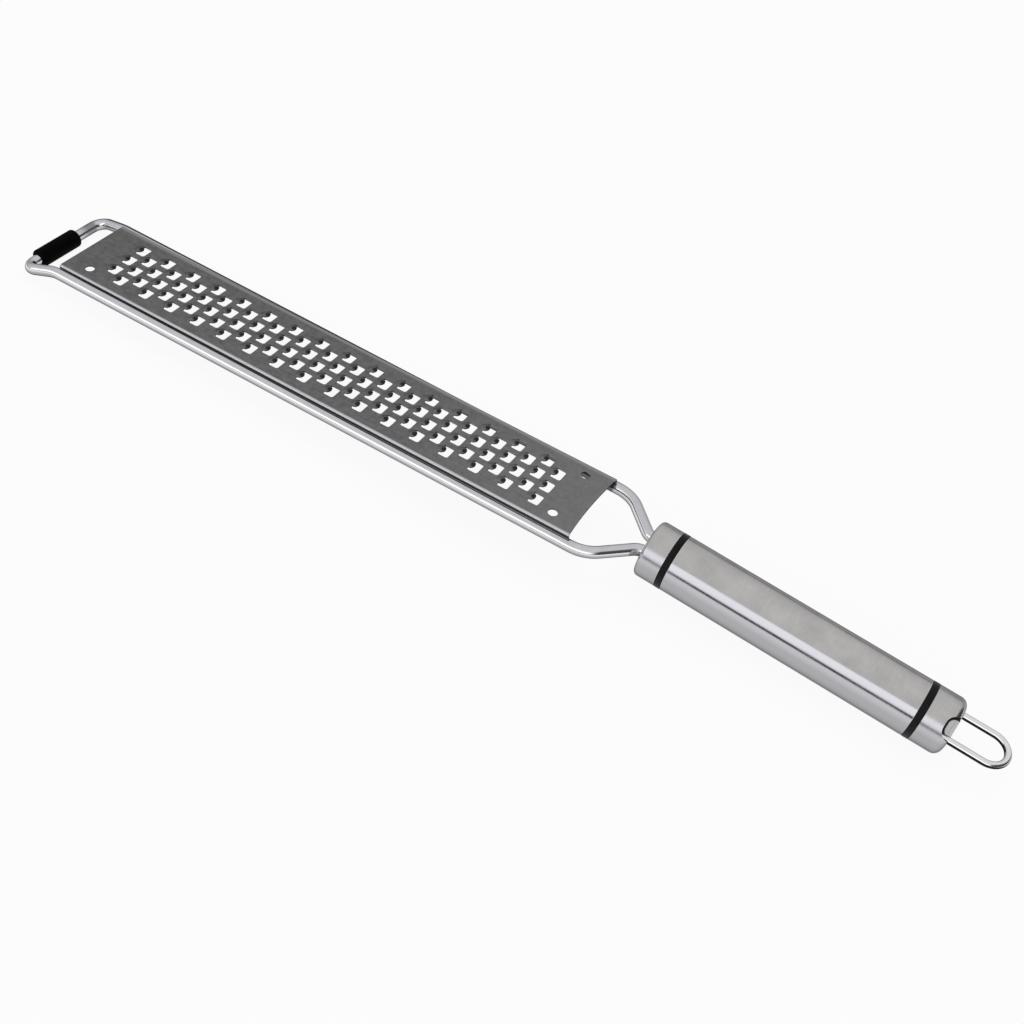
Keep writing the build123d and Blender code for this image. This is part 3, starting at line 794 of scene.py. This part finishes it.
satin_steel = satin_finish("satin_steel", 0.1, 0.18)
satin_cap = satin_finish("satin_cap", 0.2, 0.27)
for name in ("front_cap", "rear_cap"):
    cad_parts[name].material_slots[0].material = satin_cap
tube_start, tube_end = front_cap_length + ring_width, handle_length - rear_cap_length - ring_width
wall = tube_outline(tube_start, tube_end, handle_bore, handle_radius, tube_edge)
tube = turned_piece("satin_tube", wall, handle_place, satin_steel)
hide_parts("handle_tube")

black_plastic = dull_finish("black_plastic", ring_black, ring_dust, 0.5, 0.15, 2500.0, 0.00001)
for node, start in (("front_ring", front_cap_length), ("rear_ring", tube_end)):
    wall = tube_outline(start, start + ring_width, handle_bore, handle_radius + ring_proud, ring_edge)
    ring = turned_piece("black_" + node, wall, handle_place, black_plastic)
    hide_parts(node)

plug_metal = steel_finish("plug_metal", plug_light, plug_deep, 0.3, 0.4,
                          (2.0, 0.3, 0.3), 0.3, 0.000005, handle_tilt)


def dark_notch_walls(material):
    """Shade laid over a notch's walls, its groove and its floor's rim, where no light gets in."""
    tree = material.node_tree
    where = add_node(tree, "ShaderNodeTexCoord").outputs
    shift, turn, size = handle_place.inverted().decompose()
    place = add_node(tree, "ShaderNodeMapping", {
        "Vector": where["Object"], "Location": shift, "Rotation": turn.to_euler(), "Scale": size}).outputs[0]
    station = add_node(tree, "ShaderNodeSeparateXYZ", {0: place}).outputs["X"]
    slant = math.sqrt(0.5)
    outwards, across, soft = (0, -slant, slant), (0, slant, slant), 0.1

    def along(vector, way):
        dot = add_node(tree, "ShaderNodeVectorMath", {0: vector, 1: way}, operation="DOT_PRODUCT")
        return size_of(tree, dot.outputs["Value"])

    def past(value, start):
        return math_node(tree, "MAXIMUM", math_node(tree, "SUBTRACT", value, start), 0.0)

    def either(first, second):
        return math_node(tree, "MAXIMUM", first, second)

    height, side = along(place, outwards), along(place, across)
    start = handle_length - notch_reach
    beside, behind = rise(tree, side, notch_half, notch_half - soft), rise(tree, station, start - soft, start)
    side_wall = rise(tree, along(where["Normal"], across), 0.55, 0.65)
    short_of_end = rise(tree, station, handle_length - end_gap, handle_length - end_gap - soft)
    back_wall = both(tree, rise(tree, along(where["Normal"], (1, 0, 0)), 0.8, 0.9), short_of_end)
    groove_floor = notch_floor - groove_depth
    groove = both(tree, rise(tree, height, notch_floor - soft / 2, notch_floor - soft),
                  rise(tree, height, groove_floor, groove_floor + soft))
    corner_x = handle_length - floor_reach + notch_corner
    corner_way = add_node(tree, "ShaderNodeCombineXYZ", {
        "X": past(corner_x, station),
        "Y": past(side, floor_half - notch_corner)})
    corner_gap = add_node(tree, "ShaderNodeVectorMath", {0: corner_way.outputs[0]}, operation="LENGTH")
    rim_start = notch_corner - floor_rim
    rim = both(tree, rise(tree, corner_gap.outputs["Value"], rim_start, rim_start + 2 * soft),
               rise(tree, height, notch_floor + soft, notch_floor + soft / 2))
    shaded = either(either(side_wall, back_wall), either(groove, rim))
    lay_over(material, both(tree, both(tree, beside, behind), shaded), notch_shade)


dark_notch_walls(satin_cap)
dark_notch_walls(plug_metal)
for name in ("front_plug", "rear_plug"):
    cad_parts[name].material_slots[0].material = plug_metal


# ---- Hanging loop ---------------------------------------------------------------------
# A thin wire bent to a long eye, whose two legs go into the handle's back end. It is the
# bright frame wire's thinner kin, with painted shade on its lower half and a painted dark line round its
# sides.

loop_radius, loop_half, loop_reach, loop_tail, loop_z = 1.22, 6.4, 18.2, 13.0, 1.0
loop_light, loop_deep = (0.96, 0.96, 0.97), (0.86, 0.86, 0.87)
loop_underside_shade, loop_shade = (0.3, 0.3, 0.31), (0.02, 0.02, 0.022)
tail_x, eye_x = handle_length - loop_tail, handle_length + loop_reach
loop_route = [(tail_x, -loop_half, loop_z, 0), (eye_x, -loop_half, loop_z, loop_half),
              (eye_x, loop_half, loop_z, loop_half), (tail_x, loop_half, loop_z, 0)]
loop_steel = steel_finish("loop_steel", loop_light, loop_deep, 0.12, 0.2,
                          (0.05, 3.0, 3.0), 0.25, 0.000006, "lay")
tree = loop_steel.node_tree
facing = parts_of(loop_steel, "Normal")
# Painted shade on the loop's lower half.
lay_over(loop_steel, rise(tree, facing["Z"], 0.3, 0.0), loop_underside_shade)
# Painted shade: a dark line round the loop's sides.
painted_dark_line = both(tree, rise(tree, facing["Z"], 0.5, 0.4), rise(tree, facing["Z"], -0.65, -0.4))
lay_over(loop_steel, painted_dark_line, loop_shade)
loop = bent_wire("bent_loop", loop_route, {
    "Wire Radius": loop_radius, "Bend Steps": 24, "Round Steps": 32, "Finish": loop_steel}, handle_place)
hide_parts("hanging_loop")
